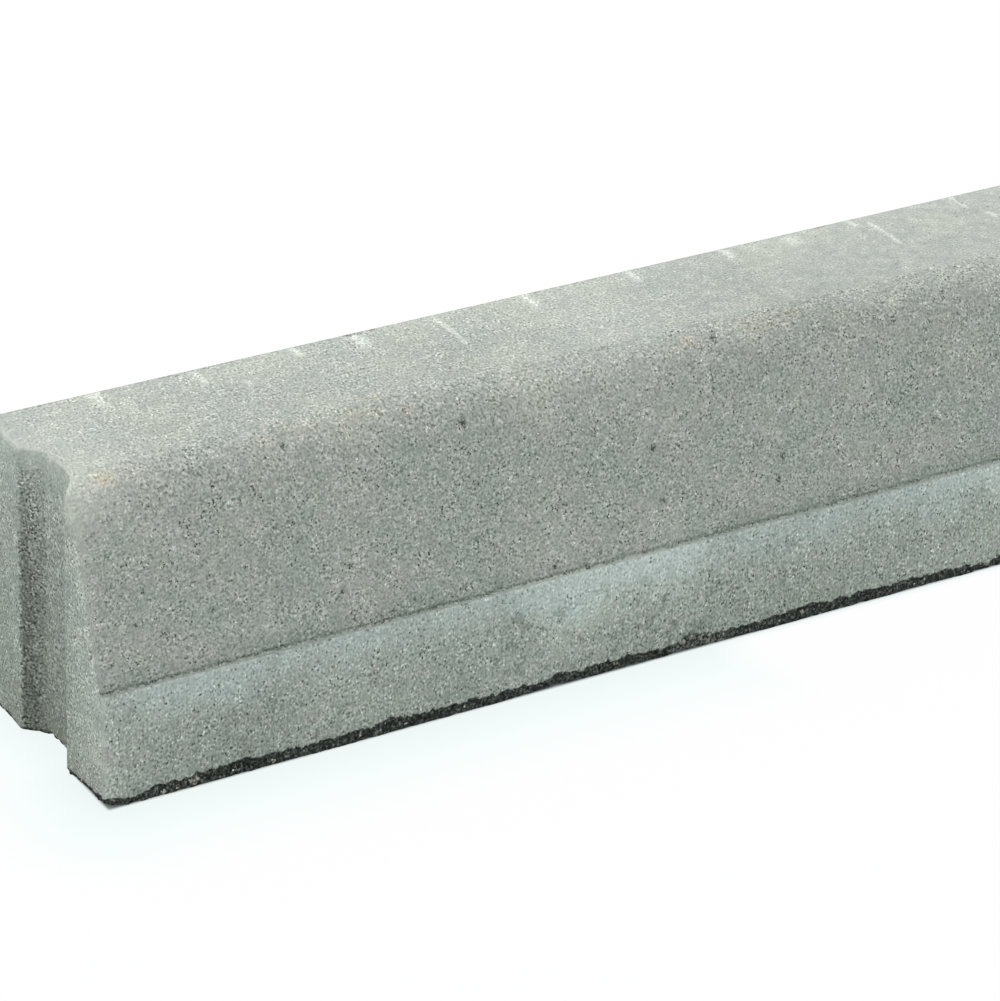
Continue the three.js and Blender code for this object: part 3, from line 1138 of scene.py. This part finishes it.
# The share of white that the camera sees over the floor's own shade. From the foot it grows to
# CONTACT_WHITE over CONTACT_REACH, and by SHADE_WHITE more out to SHADE_REACH.
CONTACT_REACH = 4
CONTACT_WHITE = 0.89
SHADE_REACH = 60
SHADE_WHITE = 0.09
MOST_WHITE = 0.98
BRIGHT_WHITE = 0.10             # added in front of the stone, along X from the start to the full place
BRIGHT_START = 42
BRIGHT_FULL = 101
COOL_START = 30                 # how far from the foot the white's cool tint of painted shade begins and ends to fade
COOL_END = 120


def from_foot(finish, x, y):
    """How far a place on the floor is from the stone's foot, which has the groove and the tongue."""
    across = finish.absolute(y)
    key = finish.step(across, GROOVE_MOUTH / 2, GROOVE_FLOOR / 2, 0, GROOVE_DEPTH)
    past_end = finish.minus(finish.absolute(x), TONGUE_LAND - END_UNDERCUT)
    past_end = finish.plus(past_end, finish.times(key, finish.step(x, 100, -100, -1.0, 1.0)))
    past_side = finish.minus(across, BACK - SIDE_UNDERCUT)
    outside = [finish.larger(past, 0.0) for past in (past_end, past_side)]
    return finish.calc("SQRT", finish.plus(*[finish.times(length, length) for length in outside]))


def make_floor():
    """A plain pale floor. The camera sees it nearly white, with the stone's shadow kept and a cool tint
    of painted shade near it.
    """
    bm = bmesh.new()
    bmesh.ops.create_grid(bm, x_segments=1, y_segments=1, size=FLOOR_HALF)
    mesh = bpy.data.meshes.new("floor")
    bm.to_mesh(mesh)
    bm.free()
    floor = bpy.data.objects.new("floor", mesh)
    bpy.context.scene.collection.objects.link(floor)
    mesh.materials.append(floor_finish())


def floor_finish():
    """Shows the floor's own shade for a share and white for the rest."""
    finish = Finish("pale_floor")
    finish.fill(finish.shader, Base_Color=FLOOR_COLOUR, Roughness=1, Specular_IOR_Level=0)
    x, y, _ = finish.split(finish.place_in_mm())
    away = from_foot(finish, x, y)
    white = finish.plus(
        finish.step(away, 0, CONTACT_REACH, 0.0, CONTACT_WHITE),
        finish.step(away, CONTACT_REACH, SHADE_REACH, 0.0, SHADE_WHITE),
    )
    before_front = finish.step(y, FRONT, FRONT - 10)
    bright = finish.times(before_front, finish.step(x, BRIGHT_START, BRIGHT_FULL))
    white = finish.plus(white, finish.times(bright, BRIGHT_WHITE))
    white = finish.calc("MINIMUM", white, MOST_WHITE)
    # Near the stone the white has a cool tint of painted shade.
    plain = finish.larger(finish.step(away, COOL_START, COOL_END), bright)
    glow = finish.fill(finish.add("ShaderNodeEmission"), Color=finish.blend(plain, SHADE_TINT_WHITE, WHITE))
    layers = finish.add("ShaderNodeMixShader")
    finish.fill(layers, Fac=finish.times(finish.seen_directly(), white))
    finish.feed(layers.inputs[1], finish.shader.outputs[0])
    finish.feed(layers.inputs[2], glow.outputs[0])
    finish.feed(finish.output.inputs["Surface"], layers.outputs[0])
    return finish.material


SKY_LIGHT = 0.88                # what the world gives the stone; the camera sees it as 1, white


class Sky(Nodes):
    """An even white sky."""

    def __init__(self):
        world = bpy.data.worlds.new("studio")
        bpy.context.scene.world = world
        world.use_nodes = True
        self.tree = world.node_tree
        background = self.tree.nodes["Background"]
        extra = self.times(self.seen_directly(), 1 - SKY_LIGHT)
        self.fill(background, Color=WHITE, Strength=self.plus(SKY_LIGHT, extra))


# The lamp hangs above and behind the stone. Its lengths are in metres and its power in watts.
LAMP_WAY = Vector((0.15, 0.62, 0.77)).normalized()
LAMP_DISTANCE = 4.0
LAMP_SIZE = 2.6
LAMP_POWER = 102


def make_lamp():
    light = bpy.data.lights.new("soft_lamp", "AREA")
    light.shape = "SQUARE"
    light.size = LAMP_SIZE
    light.energy = LAMP_POWER
    lamp = bpy.data.objects.new("soft_lamp", light)
    turn = LAMP_WAY.to_track_quat("Z", "Y").to_matrix().to_4x4()
    lamp.matrix_world = Matrix.Translation(LAMP_WAY * LAMP_DISTANCE) @ turn
    bpy.context.scene.collection.objects.link(lamp)


# The camera stands to the left of the front and looks down on the stone.
CAMERA_AIM = Vector((-88.5, 0, 122.7)) * MM
CAMERA_DISTANCE = 3787.7 * MM
CAMERA_AZIMUTH = math.radians(-31.91)
CAMERA_ELEVATION = math.radians(27.77)
CAMERA_ROLL = math.radians(2.03)
CAMERA_LENS = 168.2             # on the usual 36 mm sensor
CAMERA_SEES = (0.1, 50)         # from how near to how far, in metres


def make_camera():
    back = Vector((
        math.sin(CAMERA_AZIMUTH) * math.cos(CAMERA_ELEVATION),
        -math.cos(CAMERA_AZIMUTH) * math.cos(CAMERA_ELEVATION),
        math.sin(CAMERA_ELEVATION),
    ))
    data = bpy.data.cameras.new("camera")
    data.lens = CAMERA_LENS
    data.clip_start, data.clip_end = CAMERA_SEES
    camera = bpy.data.objects.new("camera", data)
    turn = (-back).to_track_quat("-Z", "Y").to_matrix().to_4x4()
    turn = turn @ Matrix.Rotation(CAMERA_ROLL, 4, "Z")
    camera.matrix_world = Matrix.Translation(CAMERA_AIM + back * CAMERA_DISTANCE) @ turn
    bpy.context.scene.collection.objects.link(camera)
    bpy.context.scene.camera = camera


# ---------------------------------------------------------------- all of it

make_camera()
Sky()
make_lamp()
make_floor()
stone = make_stone()
stone.data.materials.append(PressedConcrete().finish_surface())
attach(stone, "root")
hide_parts("kerb_stone")
bpy.context.scene.view_settings.view_transform = "Standard"
